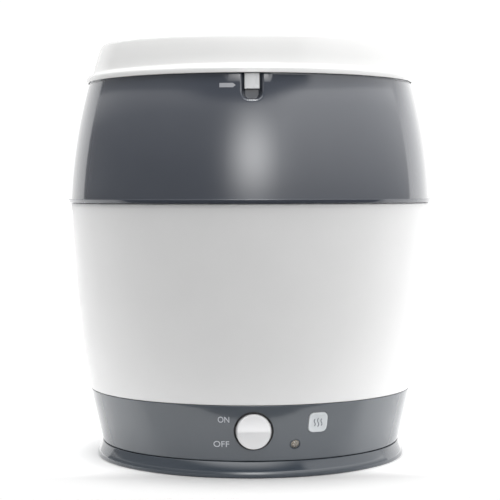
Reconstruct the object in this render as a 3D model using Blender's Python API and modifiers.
"""Electric steam steriliser for baby bottles, as an assembly of separate solids.

A barrel-shaped stack stands on four rubber feet: a heater base with a rocker switch, a white
chamber with a bottle rack, a grey chamber with an accessory tray, and a domed lid whose hinged
tab hangs in a finger pocket. The origin is on the axis of the stack, on the surface that the
feet stand on. +Z is up and the front, with the switch and the tab, faces -Y.
"""

import math

import bmesh
import bpy
from mathutils import Matrix, Vector

MM = 0.001

# ---------------------------------------------------------------- driving sizes
STEPS = 48  # sides of the large turned shells
SMALL_STEPS = 16  # sides of small round pieces
GAP = 0.3 * MM  # play between faces that meet
REACH = 3 * MM  # how far a cutter runs past the face that it opens
WALL = 2.4 * MM  # wall of the chambers and the base
LID_WALL = 2.2 * MM

FOOT_DROP = 0.3 * MM  # the feet stand this far below the cover
SEAM_Z = 11.5 * MM  # cover to housing
BASE_TOP_Z = 51.6 * MM  # housing to lower chamber
BELT_Z = 191.9 * MM  # lower chamber to upper chamber
NECK_Z = 279.0 * MM  # crease below the rim
RIM_Z = 285.0 * MM  # top edge of the upper chamber
LID_EDGE_Z = 282.5 * MM
SHOULDER_Z = 311.0 * MM
TOP_Z = 325.0 * MM

BELLY_Z = 190.0 * MM  # where the barrel is widest
BELLY_RADIUS = 136.5 * MM
LOWER_TAPER, LOWER_CURL = 11.3 * MM, 16.0 * MM
UPPER_TAPER, UPPER_CURL = 2.9 * MM, 10.2 * MM
RIM_RADIUS = 122.8 * MM
FLANGE_RADIUS = 139.4 * MM

DECK_Z = 50.0 * MM  # top of the housing's deck round the dish
DISH_RADIUS = 86.6 * MM
DISH_FLOOR_Z = 40.0 * MM
PILLAR_RADIUS, PILLAR_ANGLES = 98 * MM, (30, 150, 210, 330)
FOOT_RING, FOOT_ANGLES = 96 * MM, (60, 120, 240, 300)

KNOB_Z = 33.4 * MM
KNOB_RADIUS = 12.7 * MM
KNOB_PIVOT_Y = -117.0 * MM
KNOB_REST_TILT = 5  # degrees, top out: the switch is off

LAMP_AZIMUTH, LAMP_Z = 14.6, 23.5 * MM
BADGE_AZIMUTH, BADGE_Z, BADGE_SIZE = 22.3, 38.4 * MM, 14.4 * MM
GLAND_Z = 24.0 * MM

POCKET_HALF_WIDTH = 7.6 * MM
POCKET_Z = 264.0 * MM  # bottom of the finger pocket
POCKET_Y = -120.2 * MM  # its back wall
TAB_X = -0.85 * MM  # the tab and its pocket stand a little left of the knob
TAB_HALF_WIDTH = 5.25 * MM
TAB_PIN_Y, TAB_PIN_Z = -121.8 * MM, 284.6 * MM
TAB_END_Z = 271.1 * MM

SHELF_RADIUS = 113.0 * MM  # opening in the upper chamber's floor
RACK_Z = 66.0 * MM  # ledge that the bottle rack rests on
TRAY_Z = 194.0 * MM  # shelf that the accessory tray rests on

FINISHES = {  # colour, roughness, metallic
    "lid_white": ((0.86, 0.86, 0.85), 0.25, 0),
    "tab_white": ((0.80, 0.81, 0.82), 0.30, 0),
    "chamber_grey": ((0.085, 0.095, 0.110), 0.12, 0),
    "chamber_white": ((0.66, 0.66, 0.66), 0.30, 0),
    "rack_white": ((0.78, 0.78, 0.77), 0.35, 0),
    "base_grey": ((0.150, 0.160, 0.180), 0.35, 0),
    "plinth_grey": ((0.075, 0.085, 0.100), 0.15, 0),
    "knob_white": ((0.83, 0.83, 0.84), 0.25, 0),
    "bezel_black": ((0.015, 0.015, 0.018), 0.45, 0),
    "badge_silver": ((0.68, 0.70, 0.71), 0.35, 0),
    "lens_clear": ((0.62, 0.58, 0.50), 0.08, 0),
    "lamp_glass": ((0.80, 0.55, 0.35), 0.10, 0),
    "steel": ((0.60, 0.60, 0.60), 0.25, 1),
    "aluminium": ((0.72, 0.72, 0.73), 0.40, 1),
    "element_steel": ((0.30, 0.27, 0.25), 0.45, 1),
    "screw_steel": ((0.55, 0.55, 0.55), 0.30, 1),
    "silicone": ((0.55, 0.56, 0.57), 0.55, 0),
    "rubber": ((0.03, 0.03, 0.03), 0.70, 0),
    "switch_black": ((0.02, 0.02, 0.02), 0.40, 0),
    "terminal_white": ((0.75, 0.74, 0.70), 0.50, 0),
    "wire_brown": ((0.20, 0.08, 0.03), 0.45, 0),
    "wire_blue": ((0.03, 0.12, 0.45), 0.45, 0),
    "wire_green": ((0.15, 0.40, 0.05), 0.45, 0),
}


def barrel_radius(z):
    """Outer radius of the barrel at a height: it tapers below the belly and above it."""
    if z < BELLY_Z:
        down = (BELLY_Z - z) / BELLY_Z
        return BELLY_RADIUS - LOWER_TAPER * down - LOWER_CURL * down**3
    up = (z - BELLY_Z) / (NECK_Z - BELLY_Z)
    return BELLY_RADIUS - UPPER_TAPER * up - UPPER_CURL * up**2


def barrel_line(top, bottom, spans, inset=0.0):
    """Profile points down the barrel from top to bottom, this far inside its outer face."""
    heights = [top + (bottom - top) * i / spans for i in range(spans + 1)]
    return [(barrel_radius(z) - inset, z) for z in heights]


def wall_frame(azimuth, z):
    """A frame on the barrel's outer face: Z points out of the wall and Y up along it.

    The azimuth is in degrees from the front, positive towards +X.
    """
    turn = math.radians(azimuth)
    step = 1 * MM
    slope = math.atan((barrel_radius(z + step) - barrel_radius(z - step)) / (2 * step))
    out = Vector((math.sin(turn), -math.cos(turn), 0))
    across = Vector((math.cos(turn), math.sin(turn), 0))
    up = Vector((0, 0, 1))
    normal = out * math.cos(slope) - up * math.sin(slope)
    along = out * math.sin(slope) + up * math.cos(slope)
    frame = Matrix((across, along, normal)).transposed().to_4x4()
    frame.translation = out * barrel_radius(z) + up * z
    return frame


# ---------------------------------------------------------------- modelling helpers
def clear_scene():
    for thing in list(bpy.data.objects):
        bpy.data.objects.remove(thing)


def new_collection(name, hidden=False):
    collection = bpy.data.collections.new(name)
    collection.hide_render = hidden
    bpy.context.scene.collection.children.link(collection)
    return collection


def finish_named(name):
    made = bpy.data.materials.get(name)
    if made:
        return made
    colour, roughness, metallic = FINISHES[name]
    made = bpy.data.materials.new(name)
    made.use_nodes = True
    made.diffuse_color = (*colour, 1)
    shader = made.node_tree.nodes["Principled BSDF"]
    shader.inputs["Base Color"].default_value = (*colour, 1)
    shader.inputs["Roughness"].default_value = roughness
    shader.inputs["Metallic"].default_value = metallic
    return made


def add(name, data, finish=None, place=None):
    """Links a new object. One with no finish is a cutter, hidden in the cutters' collection."""
    made = bpy.data.objects.new(name, data)
    made.matrix_world = place or Matrix.Identity(4)
    if finish is None:
        cutters.objects.link(made)
        made.hide_render = True
        made.display_type = "WIRE"
    else:
        parts.objects.link(made)
        data.materials.append(finish_named(finish))
    return made


def at(x, y, z):
    return Matrix.Translation((x, y, z))


def round_about(angle, radius, z=0.0):
    """A place on a ring about the stack's axis, at an angle in degrees from +X.

    It is itself turned a little, so that no corner of a round cutter meets a seam of a turned disc.
    """
    turn = math.radians(angle)
    return at(radius * math.cos(turn), radius * math.sin(turn), z) @ Matrix.Rotation(0.12, 4, "Z")


def from_bmesh(name, shape, finish, place):
    mesh = bpy.data.meshes.new(name)
    shape.to_mesh(mesh)
    shape.free()
    return add(name, mesh, finish, place)


def block(name, low, high, finish=None, place=None):
    """A box between two corners of its own frame."""
    low, high = Vector(low), Vector(high)
    shape = bmesh.new()
    bmesh.ops.create_cube(shape, size=1)
    bmesh.ops.scale(shape, vec=high - low, verts=shape.verts)
    bmesh.ops.translate(shape, vec=(low + high) / 2, verts=shape.verts)
    return from_bmesh(name, shape, finish, place)


def rod(name, radius, bottom, top, finish=None, place=None, tip=None, steps=SMALL_STEPS):
    """A cylinder, or a cone with a tip radius, along its own Z."""
    shape = bmesh.new()
    bmesh.ops.create_cone(
        shape,
        cap_ends=True,
        segments=steps,
        radius1=radius,
        radius2=radius if tip is None else tip,
        depth=top - bottom,
        matrix=at(0, 0, (top + bottom) / 2),
    )
    return from_bmesh(name, shape, finish, place)


def turned(name, profile, finish=None, place=None, steps=STEPS):
    """A profile of (radius, height) points turned about its own Z.

    The profile runs down its outer side. It is a closed ring unless it starts on the axis.
    """
    mesh = bpy.data.meshes.new(name)
    last = len(profile) - 1
    edges = [(i, i + 1) for i in range(last)]
    if profile[0][0] > 0:
        edges.append((last, 0))
    mesh.from_pydata([(radius, 0, z) for radius, z in profile], edges, [])
    made = add(name, mesh, finish, place)
    screw = made.modifiers.new("turn", "SCREW")
    screw.steps = screw.render_steps = steps
    screw.use_merge_vertices = True
    screw.merge_threshold = 0.00001
    return made


def plate(name, outline, bottom, top, finish=None, place=None):
    """A flat outline of (x, y) points, filled and extruded along its own Z."""
    curve = bpy.data.curves.new(name, "CURVE")
    curve.dimensions = "2D"
    curve.fill_mode = "BOTH"
    curve.extrude = (top - bottom) / 2
    spline = curve.splines.new("POLY")
    spline.points.add(len(outline) - 1)
    for point, (x, y) in zip(spline.points, outline):
        point.co = (x, y, 0, 1)
    spline.use_cyclic_u = True
    lift = at(0, 0, (bottom + top) / 2)
    return meshed(name, curve, finish, (place or Matrix.Identity(4)) @ lift)


def meshed(name, curve, finish, place):
    """The curve's evaluated mesh as an object, with its caps welded on."""
    guide = bpy.data.objects.new(name + "_guide", curve)
    bpy.context.scene.collection.objects.link(guide)
    graph = bpy.context.evaluated_depsgraph_get()
    mesh = bpy.data.meshes.new_from_object(guide.evaluated_get(graph))
    bpy.data.objects.remove(guide)
    shape = bmesh.new()
    shape.from_mesh(mesh)
    bmesh.ops.remove_doubles(shape, verts=shape.verts, dist=0.000001)
    bmesh.ops.recalc_face_normals(shape, faces=shape.faces)
    shape.to_mesh(mesh)
    shape.free()
    return add(name, mesh, finish, place)


def smooth_route(points, per_span=3):
    """Points along a Catmull-Rom curve through the given ones."""
    knots = [Vector(p) for p in points]
    knots = [2 * knots[0] - knots[1], *knots, 2 * knots[-1] - knots[-2]]
    route = []
    for a, b, c, d in zip(knots, knots[1:], knots[2:], knots[3:]):
        for i in range(per_span):
            t = i / per_span
            bend = 2 * a - 5 * b + 4 * c - d
            twist = 3 * b - a - 3 * c + d
            route.append(0.5 * (2 * b + (c - a) * t + bend * t**2 + twist * t**3))
    return [*route, knots[-2]]


def tube(name, route, radius, finish):
    """A round rod along a route of points, with flat ends."""
    curve = bpy.data.curves.new(name, "CURVE")
    curve.dimensions = "3D"
    curve.bevel_depth = radius
    curve.bevel_resolution = 2
    curve.use_fill_caps = True
    spline = curve.splines.new("POLY")
    spline.points.add(len(route) - 1)
    for point, (x, y, z) in zip(spline.points, route):
        point.co = (x, y, z, 1)
    return meshed(name, curve, finish, None)


def combine(target, tool, operation):
    boolean = target.modifiers.new(tool.name, "BOOLEAN")
    boolean.operation = operation
    boolean.object = tool
    return target


def cut(target, *tools):
    for tool in tools:
        combine(target, tool, "DIFFERENCE")


def join(target, *tools):
    for tool in tools:
        combine(target, tool, "UNION")


def rounded_square(size, power=4, points=32):
    """A superellipse outline, a square with round corners and slightly bowed sides."""
    outline = []
    for i in range(points):
        turn = math.tau * i / points
        x, y = math.cos(turn), math.sin(turn)
        scale = size / 2 / (abs(x) ** power + abs(y) ** power) ** (1 / power)
        outline.append((x * scale, y * scale))
    return outline


def pocket_outline(half_width, bottom, top, corner, spans=5):
    """A U shape in (x, z): straight sides, round lower corners and an open top."""
    outline = [(half_width, top), (-half_width, top)]
    for centre, start in ((-half_width + corner, 180), (half_width - corner, 270)):
        for i in range(spans + 1):
            turn = math.radians(start + 90 * i / spans)
            outline.append(
                (centre + corner * math.cos(turn), bottom + corner + corner * math.sin(turn))
            )
    return outline


# ---------------------------------------------------------------- heater base
def make_base_housing():
    """The base's side wall and deck, with a ring on top that centres the lower chamber."""
    deck_under = DECK_Z - WALL
    opening = DISH_RADIUS + 1.4 * MM
    ring_in, ring_out, ring_top = 115.0 * MM, 117.2 * MM, 60.0 * MM
    profile = [
        *barrel_line(BASE_TOP_Z, SEAM_Z, 4),
        *reversed(barrel_line(deck_under, SEAM_Z, 2, WALL)),
        (opening, deck_under),
        (opening, DECK_Z),
        (ring_in, DECK_Z),
        (ring_in, ring_top),
        (ring_out, ring_top),
        (ring_out, BASE_TOP_Z),
    ]
    housing = turned("base_housing", profile, "base_grey")
    pillar_radius, pilot_radius = 4.5 * MM, 1.8 * MM
    pillar_foot, pilot_top = 7.8 * MM, 21.5 * MM
    for i, angle in enumerate(PILLAR_ANGLES):
        place = round_about(angle, PILLAR_RADIUS)
        pillar_top = deck_under + 1 * MM
        pillar = rod(f"pillar_{i}", pillar_radius, pillar_foot, pillar_top, place=place, steps=12)
        pilot = rod(f"pilot_{i}", pilot_radius, pillar_foot - REACH, pilot_top, place=place, steps=8)
        join(housing, pillar)
        cut(housing, pilot)
    knob_place = at(0, 0, KNOB_Z) @ Matrix.Rotation(math.radians(90), 4, "X")
    knob_hole = rod("knob_hole", 13.9 * MM, 105 * MM, 130 * MM, place=knob_place, steps=32)
    lamp_place = wall_frame(LAMP_AZIMUTH, LAMP_Z)
    lamp_hole = rod("lamp_hole", 3.2 * MM, -8 * MM, REACH, place=lamp_place)
    gland_hole = rod("gland_hole", 6.1 * MM, -8 * MM, REACH, place=wall_frame(180, GLAND_Z))
    recess = rounded_square(BADGE_SIZE + 2 * GAP)
    badge_place = wall_frame(BADGE_AZIMUTH, BADGE_Z)
    badge_recess = plate("badge_recess", recess, -1.5 * MM, REACH, place=badge_place)
    cut(housing, knob_hole, lamp_hole, gland_hole, badge_recess)
    return housing


def make_base_cover():
    """The flared plinth, which closes the base from below and stands on the feet."""
    under, floor = FOOT_DROP, FOOT_DROP + 2.5 * MM
    lip = SEAM_Z - GAP
    spigot_in, spigot_out, spigot_top = 107.6 * MM, 109.6 * MM, 17.0 * MM
    profile = [
        (0, floor),
        (spigot_in, floor),
        (spigot_in, spigot_top),
        (spigot_out, spigot_top),
        (spigot_out, lip),
        (113.3 * MM, lip),
        (116.9 * MM, 3.4 * MM),
        (117.1 * MM, 2.0 * MM),
        (116.7 * MM, under),
        (0, under),
    ]
    cover = turned("base_cover", profile, "plinth_grey")
    pad_radius, pad_top = 6.0 * MM, 7.5 * MM
    for i, angle in enumerate(PILLAR_ANGLES):
        place = round_about(angle, PILLAR_RADIUS)
        join(cover, rod(f"pad_{i}", pad_radius, floor - 1 * MM, pad_top, place=place, steps=12))
        cut(
            cover,
            rod(f"screw_hole_{i}", 2.0 * MM, 0, pad_top + REACH, place=place, steps=8),
            rod(f"head_well_{i}", 3.8 * MM, under - REACH, 4.8 * MM, place=place, steps=12),
        )
    for i, angle in enumerate(FOOT_ANGLES):
        place = round_about(angle, FOOT_RING)
        cut(cover, rod(f"foot_seat_{i}", 8.3 * MM, under - REACH, under + 1.3 * MM, place=place))
    slot_length, slot_half, slot_pitch = 34 * MM, 1.6 * MM, 10 * MM
    for i in range(-2, 3):
        low = (i * slot_pitch - slot_half, -slot_length / 2, 0)
        high = (i * slot_pitch + slot_half, slot_length / 2, floor + REACH)
        cut(cover, block(f"vent_slot_{i + 2}", low, high))
    return cover


def make_base_fixings():
    """The rubber feet and the screws that hold the cover."""
    made = []
    for i, angle in enumerate(FOOT_ANGLES):
        place = round_about(angle, FOOT_RING)
        foot_top = FOOT_DROP + 1 * MM
        made.append(rod(f"foot_{i + 1}", 7.2 * MM, 0, foot_top, "rubber", place, tip=8.0 * MM))
    head, shank = 3.3 * MM, 1.5 * MM
    seat, under = 4.5 * MM, 2.5 * MM
    profile = [
        (0, 20 * MM),
        (shank, 19 * MM),
        (shank, seat),
        (head, seat),
        (head, under),
        (0, under),
    ]
    for i, angle in enumerate(PILLAR_ANGLES):
        place = round_about(angle, PILLAR_RADIUS)
        made.append(turned(f"cover_screw_{i + 1}", profile, "screw_steel", place, steps=8))
    return made


def make_heater():
    """The water dish with its seal, and what heats it and watches its temperature from below."""
    thick, lip_z, lip_radius = 1.2 * MM, 52.0 * MM, 94.0 * MM
    corner = 3.0 * MM
    dish = turned(
        "heating_dish",
        [
            (0, DISH_FLOOR_Z),
            (DISH_RADIUS - thick - corner - 1 * MM, DISH_FLOOR_Z),
            (DISH_RADIUS - thick - 1 * MM, DISH_FLOOR_Z + corner),
            (DISH_RADIUS - thick, lip_z + thick),
            (lip_radius, lip_z + thick),
            (lip_radius, lip_z),
            (DISH_RADIUS, lip_z),
            (DISH_RADIUS - 1 * MM, DISH_FLOOR_Z + corner - thick),
            (DISH_RADIUS - corner - 1 * MM, DISH_FLOOR_Z - thick),
            (0, DISH_FLOOR_Z - thick),
        ],
        "steel",
    )
    seal_in, seal_out = 88.6 * MM, 93.5 * MM
    seal_low, seal_high = DECK_Z + GAP, lip_z - GAP
    seal = turned(
        "dish_seal",
        [(seal_in, seal_high), (seal_out, seal_high), (seal_out, seal_low), (seal_in, seal_low)],
        "silicone",
    )
    spreader_top, spreader_low = DISH_FLOOR_Z - thick - GAP, 35.5 * MM
    spreader_in, spreader_out = 12 * MM, 64 * MM
    spreader = turned(
        "heat_spreader",
        [
            (spreader_in, spreader_top),
            (spreader_out, spreader_top),
            (spreader_out, spreader_low),
            (spreader_in, spreader_low),
        ],
        "aluminium",
        steps=32,
    )
    ring, sheath, ring_z, end_z = 50 * MM, 3.0 * MM, 32.2 * MM, 19.0 * MM
    gap_angle, spans = 15, 24
    route = []
    for i in range(spans + 1):
        turn = math.radians(90 + gap_angle + (360 - 2 * gap_angle) * i / spans)
        route.append((ring * math.cos(turn), ring * math.sin(turn), ring_z))
    first, last = route[0], route[-1]
    lean = 2.0 * MM  # the ends lean to the gap as they turn down, so that the bend is round
    starts = [(first[0] + lean, first[1], end_z), (first[0] + lean, first[1], ring_z - 6 * MM)]
    ends = [(last[0] - lean, last[1], ring_z - 6 * MM), (last[0] - lean, last[1], end_z)]
    element = tube("heating_element", [*starts, *route, *ends], sheath, "element_steel")
    bar_low, bar_top, bar_half = 27.4 * MM, 28.8 * MM, 6 * MM
    foot_in, foot_out = 56.5 * MM, 61.5 * MM
    bar_low_corner = (-foot_out, -bar_half, bar_low)
    bar_high_corner = (foot_out, bar_half, bar_top)
    bracket = block("element_bracket", bar_low_corner, bar_high_corner, "steel")
    for side, low in (("left", -foot_out), ("right", foot_in)):
        low_corner = (low, -bar_half, bar_low)
        high_corner = (low + foot_out - foot_in, bar_half, spreader_low - GAP)
        join(bracket, block(f"bracket_foot_{side}", low_corner, high_corner))
    thermostat = rod("thermostat", 8.0 * MM, bar_top + GAP, spreader_top, "switch_black", steps=20)
    low_corner, high_corner = (-3 * MM, -13 * MM, 30.5 * MM), (3 * MM, 13 * MM, 31.5 * MM)
    join(thermostat, block("thermostat_tabs", low_corner, high_corner))
    fuse_place = at(-7 * MM, 0, 24 * MM) @ Matrix.Rotation(math.radians(90), 4, "X")
    fuse = rod("thermal_fuse", 2.2 * MM, -38 * MM, -22 * MM, "steel", fuse_place, steps=12)
    return [dish, seal, spreader, element, bracket, thermostat, fuse]


def make_switch():
    """The switch body, whose tongue carries the knob's pivot pin, and the collar round the knob."""
    body_back, body_front = -91 * MM, -109 * MM
    half_width, half_height = 9 * MM, 10 * MM
    body = block(
        "switch_body",
        (-half_width, body_front, KNOB_Z - half_height),
        (half_width, body_back, KNOB_Z + half_height),
        "switch_black",
    )
    tongue_half, tongue_tip = 3.0 * MM, KNOB_PIVOT_Y - 2.4 * MM
    tongue = block(
        "switch_tongue",
        (-tongue_half, tongue_tip, KNOB_Z - 2.5 * MM),
        (tongue_half, body_front + 1 * MM, KNOB_Z + 2.5 * MM),
    )
    sideways = at(0, KNOB_PIVOT_Y, KNOB_Z) @ Matrix.Rotation(math.radians(90), 4, "Y")
    join(body, tongue)
    cut(body, rod("tongue_hole", 1.3 * MM, -6 * MM, 6 * MM, place=sideways, steps=12))
    pin = rod("knob_pin", 1.0 * MM, -9 * MM, 9 * MM, "screw_steel", sideways, steps=12)
    inner, outer, flange = 13.05 * MM, 13.6 * MM, 15.2 * MM
    flange_front, back, front = 110.8 * MM, 109.4 * MM, 126 * MM
    forwards = at(0, 0, KNOB_Z) @ Matrix.Rotation(math.radians(90), 4, "X")
    collar = turned(
        "knob_bezel",
        [
            (inner, front),
            (outer, front),
            (outer, flange_front),
            (flange, flange_front),
            (flange, back),
            (inner, back),
        ],
        "bezel_black",
        forwards,
        steps=32,
    )
    core_top = DECK_Z - WALL - GAP  # the collar is flush with the barrel and ends below the deck
    core = turned("barrel_core", [(0, core_top), *barrel_line(core_top, SEAM_Z, 5), (0, SEAM_Z)])
    combine(collar, core, "INTERSECT")
    return [body, pin, collar]


def make_knob():
    """The rocker: round sides centred on the pivot, and two sloping faces that meet in a ridge."""
    front, back = 6.4 * MM, -4.0 * MM
    spans = 4
    side = []
    for i in range(spans + 1):
        depth = 4.2 * MM + (back - 4.2 * MM) * i / spans
        side.append((math.sqrt(KNOB_RADIUS**2 - depth**2), depth))
    edge = [(9.9 * MM, front), (11.2 * MM, 5.4 * MM)]
    lean = Matrix.Rotation(math.radians(90 + KNOB_REST_TILT), 4, "X")
    place = at(0, KNOB_PIVOT_Y, KNOB_Z) @ lean
    knob = turned("rocker_knob", [(0, front), *edge, *side, (0, back)], "knob_white", place, steps=32)
    ridge, eaves, reach = 5.9 * MM, 4.0 * MM, 15 * MM
    roof = [(-reach, -8 * MM), (reach, -8 * MM), (reach, eaves), (0, ridge), (-reach, eaves)]
    quarter = math.radians(90)
    stand = place @ Matrix.Rotation(quarter, 4, "Z") @ Matrix.Rotation(quarter, 4, "X")
    combine(knob, plate("knob_roof", roof, -reach, reach, place=stand), "INTERSECT")
    slot_half, slot_reach, slot_top = 3.6 * MM, 8 * MM, 3.2 * MM
    low_corner = (-slot_half, -slot_reach, back - REACH)
    slot = block("tongue_slot", low_corner, (slot_half, slot_reach, slot_top), place=place)
    across = place @ Matrix.Rotation(quarter, 4, "Y")
    cut(knob, slot, rod("knob_pin_hole", 1.3 * MM, -15 * MM, 15 * MM, place=across, steps=12))
    return knob


def make_front_pieces():
    """The neon lamp behind its lens, the badge plate, and the cable gland at the back."""
    lamp_place = wall_frame(LAMP_AZIMUTH, LAMP_Z)
    lens = turned(
        "indicator_lens",
        [
            (0, 1.3 * MM),
            (1.6 * MM, 1.0 * MM),
            (2.9 * MM, 0.1 * MM),
            (2.9 * MM, -3.2 * MM),
            (4.4 * MM, -3.2 * MM),
            (4.4 * MM, -4.4 * MM),
            (2.3 * MM, -4.4 * MM),
            (2.3 * MM, -1.0 * MM),
            (0, -1.0 * MM),
        ],
        "lens_clear",
        lamp_place,
        steps=SMALL_STEPS,
    )
    lamp = turned(
        "indicator_lamp",
        [
            (0, -1.5 * MM),
            (1.3 * MM, -2.0 * MM),
            (1.9 * MM, -3.4 * MM),
            (1.9 * MM, -14 * MM),
            (0, -14 * MM),
        ],
        "lamp_glass",
        lamp_place,
        steps=12,
    )
    bore, rim, near, far = 2.3 * MM, 4.0 * MM, -5.0 * MM, -12.6 * MM
    holder = turned(
        "lamp_holder",
        [(bore, near), (rim, near), (rim, far), (bore, far)],
        "terminal_white",
        lamp_place,
        steps=12,
    )
    badge = plate(
        "badge_plate",
        rounded_square(BADGE_SIZE),
        -1.2 * MM,
        0.4 * MM,
        "badge_silver",
        wall_frame(BADGE_AZIMUTH, BADGE_Z),
    )
    bore, neck, collar, tail = 4.0 * MM, 5.8 * MM, 8.0 * MM, 7.4 * MM
    gland = turned(
        "cable_gland",
        [
            (bore, 4.2 * MM),
            (6.6 * MM, 4.2 * MM),
            (collar, 3.0 * MM),
            (collar, 0.7 * MM),
            (neck, 0.7 * MM),
            (neck, -3.2 * MM),
            (tail, -3.2 * MM),
            (tail, -5.4 * MM),
            (bore, -5.4 * MM),
        ],
        "rubber",
        wall_frame(180, GLAND_Z),
        steps=SMALL_STEPS,
    )
    return [lens, lamp, holder, badge, gland]


def make_wiring():
    """The terminal block on the cover's floor and the leads that run from it."""
    floor = FOOT_DROP + 2.5 * MM + GAP
    low_corner, high_corner = (-15 * MM, 78 * MM, floor), (15 * MM, 92 * MM, 16 * MM)
    terminals = block("terminal_block", low_corner, high_corner, "terminal_white")
    lead = 1.1 * MM
    routes = {  # finish, then the points that the lead passes through, in millimetres
        "wire_live": (
            "wire_brown",
            [(-8, 77, 11), (-16, 70, 8), (-62, 38, 7), (-74, -8, 7)],
            [(-52, -56, 9), (-14, -80, 18), (-5, -90, 27)],
        ),
        "wire_switched": (
            "wire_brown",
            [(4, -90, 30), (7, -82, 24), (12, -55, 12)],
            [(9, -28, 14), (0, -17, 26), (0, -14, 31)],
        ),
        "wire_thermostat": (
            "wire_brown",
            [(0, 14, 31), (-2, 17, 28), (-7, 21, 24)],
            [],
        ),
        "wire_fuse": (
            "wire_brown",
            [(-7, 39, 24), (-8, 43, 16), (-11, 48, 14), (-11, 48.3, 18.3)],
            [],
        ),
        "wire_neutral": (
            "wire_blue",
            [(11, 48.3, 18.3), (11, 49, 13), (9, 62, 9), (8, 77, 11)],
            [],
        ),
        "wire_earth": (
            "wire_green",
            [(0, 77, 11), (4, 62, 7), (20, 34, 8)],
            [(30, 12, 18), (31, 8, 28), (31, 7.6, 35)],
        ),
        "lamp_lead_live": (
            "wire_brown",
            [(24.7, -98.1, 27.4), (21, -84, 20), (13, -84, 20), (6.5, -90, 25)],
            [],
        ),
        "lamp_lead_neutral": (
            "wire_blue",
            [(26.9, -97.5, 27.4), (33, -84, 14), (62, -42, 7)],
            [(64, 30, 7), (34, 62, 7), (12, 77, 11)],
        ),
    }
    made = [terminals]
    for name, (finish, start, end) in routes.items():
        points = [Vector(point) * MM for point in start + end]
        made.append(tube(name, smooth_route(points), lead, finish))
    return made


# ---------------------------------------------------------------- chambers
def make_lower_chamber():
    """The white wall of the bottle chamber, with a ledge inside for the rack."""
    foot = BASE_TOP_Z + GAP
    ledge_in, ledge_under = 117.0 * MM, RACK_Z - 2.5 * MM
    profile = [
        *barrel_line(BELT_Z, foot, 5),
        (barrel_radius(foot) - WALL, foot),
        (barrel_radius(ledge_under) - WALL, ledge_under),
        (ledge_in, ledge_under),
        (ledge_in, RACK_Z),
        *reversed(barrel_line(BELT_Z, RACK_Z, 3, WALL)),
    ]
    return turned("lower_chamber", profile, "chamber_white")


def make_bottle_rack():
    """The plate that bottles stand on, with a peg for each bottle and a post to lift it by."""
    low, high, radius = RACK_Z + GAP, RACK_Z + 2.8 * MM, 121.2 * MM
    rack = turned("bottle_rack", [(0, high), (radius, high), (radius, low), (0, low)], "rack_white")
    ring, peg_top = 74 * MM, 104 * MM
    start, end = low - REACH, high + REACH
    for i in range(6):
        place = round_about(60 * i, ring)
        peg = rod(f"peg_{i}", 8 * MM, low + 1 * MM, peg_top, place=place, tip=5.5 * MM, steps=12)
        join(rack, peg)
        wide, near = round_about(60 * i + 30, ring), round_about(60 * i + 30, 36 * MM)
        cut(
            rack,
            rod(f"steam_wide_{i}", 12 * MM, start, end, place=wide, steps=10),
            rod(f"steam_near_{i}", 8 * MM, start, end, place=near, steps=8),
        )
    for i in range(12):
        place = round_about(30 * i + 15, 107 * MM)
        cut(rack, rod(f"steam_rim_{i}", 5 * MM, start, end, place=place, steps=8))
    post = turned(
        "lifting_post",
        [
            (0, 134 * MM),
            (8 * MM, 134 * MM),
            (11 * MM, 131 * MM),
            (11 * MM, 127 * MM),
            (6.5 * MM, 122 * MM),
            (9.5 * MM, low + 1 * MM),
            (0, low + 1 * MM),
        ],
        steps=12,
    )
    join(rack, post)
    return rack


def make_upper_chamber():
    """The grey wall with its belt flange, a spigot below it, and a shelf for the tray."""
    flange_top, flange_low, flange_foot = 194.4 * MM, BELT_Z + GAP, 138.1 * MM
    spigot_in, spigot_out, spigot_low = 131.0 * MM, 133.3 * MM, 184.0 * MM
    shelf_under = TRAY_Z - 2.4 * MM
    profile = [
        (RIM_RADIUS, RIM_Z),
        *barrel_line(NECK_Z, flange_top, 4),
        (FLANGE_RADIUS, flange_top),
        (FLANGE_RADIUS, flange_top - 0.7 * MM),
        (flange_foot, flange_low),
        (spigot_out, flange_low),
        (spigot_out, spigot_low),
        (spigot_in, spigot_low),
        (spigot_in, shelf_under),
        (SHELF_RADIUS, shelf_under),
        (SHELF_RADIUS, TRAY_Z),
        *reversed(barrel_line(NECK_Z, TRAY_Z, 3, WALL)),
        (RIM_RADIUS - WALL, RIM_Z),
    ]
    chamber = turned("upper_chamber", profile, "chamber_grey")
    back = POCKET_Y + WALL
    upright = at(TAB_X, 0, 0) @ Matrix.Rotation(math.radians(90), 4, "X")
    swell = pocket_outline(POCKET_HALF_WIDTH + WALL, POCKET_Z - WALL, RIM_Z, 5 * MM + WALL)
    hollow = pocket_outline(POCKET_HALF_WIDTH, POCKET_Z, RIM_Z + REACH, 5 * MM)
    join(chamber, plate("pocket_swell", swell, -back, 122.0 * MM, place=upright))
    cut(chamber, plate("pocket_hollow", hollow, -POCKET_Y, 135 * MM, place=upright))
    return chamber


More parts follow.
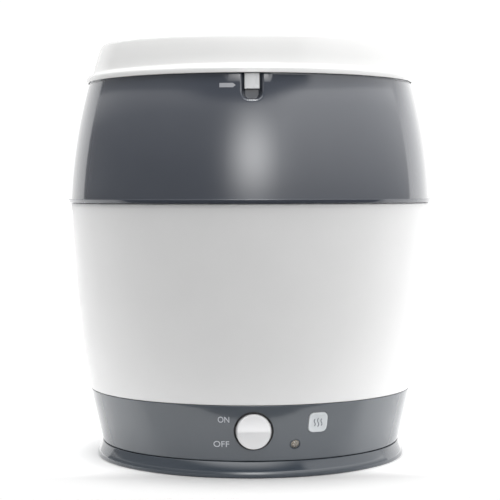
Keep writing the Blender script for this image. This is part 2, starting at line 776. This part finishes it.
def make_accessory_tray():
    """The tray for teats and rings, with pegs, steam holes and a finger hole to lift it by."""
    low, high, radius = TRAY_Z + GAP, TRAY_Z + 2.5 * MM, 116.2 * MM
    rim_top, rim_in = 203 * MM, radius - 1.8 * MM
    tray = turned(
        "accessory_tray",
        [(0, high), (rim_in, high), (rim_in, rim_top), (radius, rim_top), (radius, low), (0, low)],
        "rack_white",
    )
    start, end, peg_top = low - REACH, high + REACH, 224 * MM
    for i in range(8):
        place = round_about(45 * i + 22.5, 92 * MM)
        peg = rod(f"teat_peg_{i}", 4 * MM, low + 1 * MM, peg_top, place=place, tip=2.6 * MM, steps=8)
        join(tray, peg)
        near, far = round_about(45 * i, 62 * MM), round_about(45 * i, 98 * MM)
        cut(
            tray,
            rod(f"tray_hole_{i}", 8 * MM, start, end, place=near, steps=10),
            rod(f"tray_rim_hole_{i}", 5 * MM, start, end, place=far, steps=8),
        )
    cut(tray, rod("finger_hole", 15 * MM, start, end))
    return tray


# ---------------------------------------------------------------- lid
def dome_line(radius, base_z, rise, spans, outwards):
    """Points on a shallow dome, from the axis out to its edge or back."""
    points = []
    for i in range(spans + 1):
        r = radius * i / spans
        points.append((r, base_z + rise * (1 - (r / radius) ** 2)))
    return points if outwards else points[::-1]


def make_lid_shell():
    """The domed lid: a shoulder, a flared edge that covers the chamber's rim, and a spigot."""
    dome_radius, rise = 112.0 * MM, TOP_Z - SHOULDER_Z
    seat = RIM_Z + GAP
    edge_in = 123.3 * MM
    spigot_out, spigot_in, spigot_low = 119.5 * MM, 117.5 * MM, 276.5 * MM
    profile = [
        *dome_line(dome_radius, SHOULDER_Z, rise, 4, True),
        (113.9 * MM, 309.9 * MM),
        (114.8 * MM, 308.0 * MM),
        (117.4 * MM, 299.0 * MM),
        (119.8 * MM, 289.8 * MM),
        (120.9 * MM, 288.2 * MM),
        (123.4 * MM, 286.8 * MM),
        (124.6 * MM, 285.4 * MM),
        (124.8 * MM, LID_EDGE_Z),
        (edge_in, LID_EDGE_Z),
        (edge_in, seat),
        (spigot_out, seat),
        (spigot_out, spigot_low),
        (spigot_in, spigot_low),
        (spigot_in, 290.0 * MM),
        (112.6 * MM, 307.6 * MM),
        *dome_line(dome_radius - LID_WALL, SHOULDER_Z - LID_WALL, rise, 2, False),
    ]
    lid = turned("lid_shell", profile, "lid_white")
    notch_half = POCKET_HALF_WIDTH + WALL + 1.2 * MM
    low_corner = (TAB_X - notch_half, -121 * MM, spigot_low - REACH)
    cut(lid, block("spigot_notch", low_corner, (TAB_X + notch_half, -112 * MM, seat)))
    ear_in, ear_out, ear_low = TAB_HALF_WIDTH + 0.4 * MM, 7.2 * MM, LID_EDGE_Z + 0.1 * MM
    for side, low in (("left", TAB_X - ear_out), ("right", TAB_X + ear_in)):
        low_corner = (low, -123.6 * MM, ear_low)
        high_corner = (low + ear_out - ear_in, -120.6 * MM, seat + 0.4 * MM)
        join(lid, block(f"tab_ear_{side}", low_corner, high_corner))
    low_corner = (TAB_X - ear_in, -123.7 * MM, LID_EDGE_Z - REACH)
    cut(lid, block("tab_room", low_corner, (TAB_X + ear_in, -120.2 * MM, 286.1 * MM)))
    sideways = at(TAB_X, TAB_PIN_Y, TAB_PIN_Z) @ Matrix.Rotation(math.radians(90), 4, "Y")
    cut(lid, rod("tab_pin_hole", 0.9 * MM, -9 * MM, 9 * MM, place=sideways, steps=8))
    for i in range(6):
        place = round_about(60 * i, 10 * MM)
        cut(lid, rod(f"vent_hole_{i}", 2.2 * MM, SHOULDER_Z, TOP_Z + REACH, place=place, steps=8))
    return lid


def make_lid_tab():
    """The tab that hangs from its pin in the finger pocket, and the pin."""
    place = at(TAB_X, TAB_PIN_Y, TAB_PIN_Z)
    across = Matrix.Rotation(math.radians(90), 4, "Y")
    tab = rod("lid_tab", 1.2 * MM, -TAB_HALF_WIDTH, TAB_HALF_WIDTH, "tab_white", place @ across, steps=12)
    drop, thick, kick = TAB_PIN_Z - TAB_END_Z, 2.0 * MM, 1.6 * MM
    back, front = -0.9 * MM, 1.1 * MM
    side = [(front, 0), (back, 0), (back + kick, -drop), (back + kick + thick, -drop)]
    quarter = math.radians(90)
    stand = place @ Matrix.Rotation(-quarter, 4, "Z") @ Matrix.Rotation(quarter, 4, "X")
    blade = plate("tab_blade", side, -TAB_HALF_WIDTH, TAB_HALF_WIDTH, place=stand)
    join(tab, blade)
    cut(tab, rod("tab_bore", 0.9 * MM, -7 * MM, 7 * MM, place=place @ across, steps=8))
    pin = rod("tab_pin", 0.6 * MM, -7.0 * MM, 7.0 * MM, "screw_steel", place @ across, steps=8)
    return tab, pin


# ---------------------------------------------------------------- assembly
def group(name, where, members):
    """Parents pieces to an empty on their joint, so that they move together."""
    empty = bpy.data.objects.new(name, None)
    empty.matrix_world = where
    parts.objects.link(empty)
    bpy.context.view_layer.update()
    for piece in members:
        piece.parent = empty
        piece.matrix_parent_inverse = where.inverted()
    return empty


def settle(piece):
    """Replaces a piece's modifiers with their result, shaded smooth between its sharp edges."""
    graph = bpy.context.evaluated_depsgraph_get()
    mesh = bpy.data.meshes.new_from_object(piece.evaluated_get(graph))
    mesh.name = piece.name
    finish = piece.material_slots[0].material
    mesh.materials.clear()
    mesh.materials.append(finish)
    piece.modifiers.clear()
    piece.data = mesh
    mesh.shade_smooth()
    mesh.set_sharp_from_angle(angle=math.radians(30))


clear_scene()
parts = new_collection("bottle_steriliser")
cutters = new_collection("cutters", hidden=True)

base_pieces = [
    make_base_housing(),
    make_base_cover(),
    *make_base_fixings(),
    *make_heater(),
    *make_switch(),
    *make_front_pieces(),
    *make_wiring(),
]
lid_tab, tab_pin = make_lid_tab()
group("base_group", at(0, 0, 0), base_pieces)
group("knob_group", at(0, KNOB_PIVOT_Y, KNOB_Z), [make_knob()])
group("lower_group", at(0, 0, BASE_TOP_Z), [make_lower_chamber()])
group("rack_group", at(0, 0, RACK_Z), [make_bottle_rack()])
group("upper_group", at(0, 0, BELT_Z), [make_upper_chamber()])
group("tray_group", at(0, 0, TRAY_Z), [make_accessory_tray()])
group("lid_group", at(0, 0, RIM_Z), [make_lid_shell(), tab_pin])
group("tab_group", at(TAB_X, TAB_PIN_Y, TAB_PIN_Z), [lid_tab])

bpy.context.view_layer.update()
for solid in [thing for thing in parts.objects if thing.type == "MESH"]:
    settle(solid)
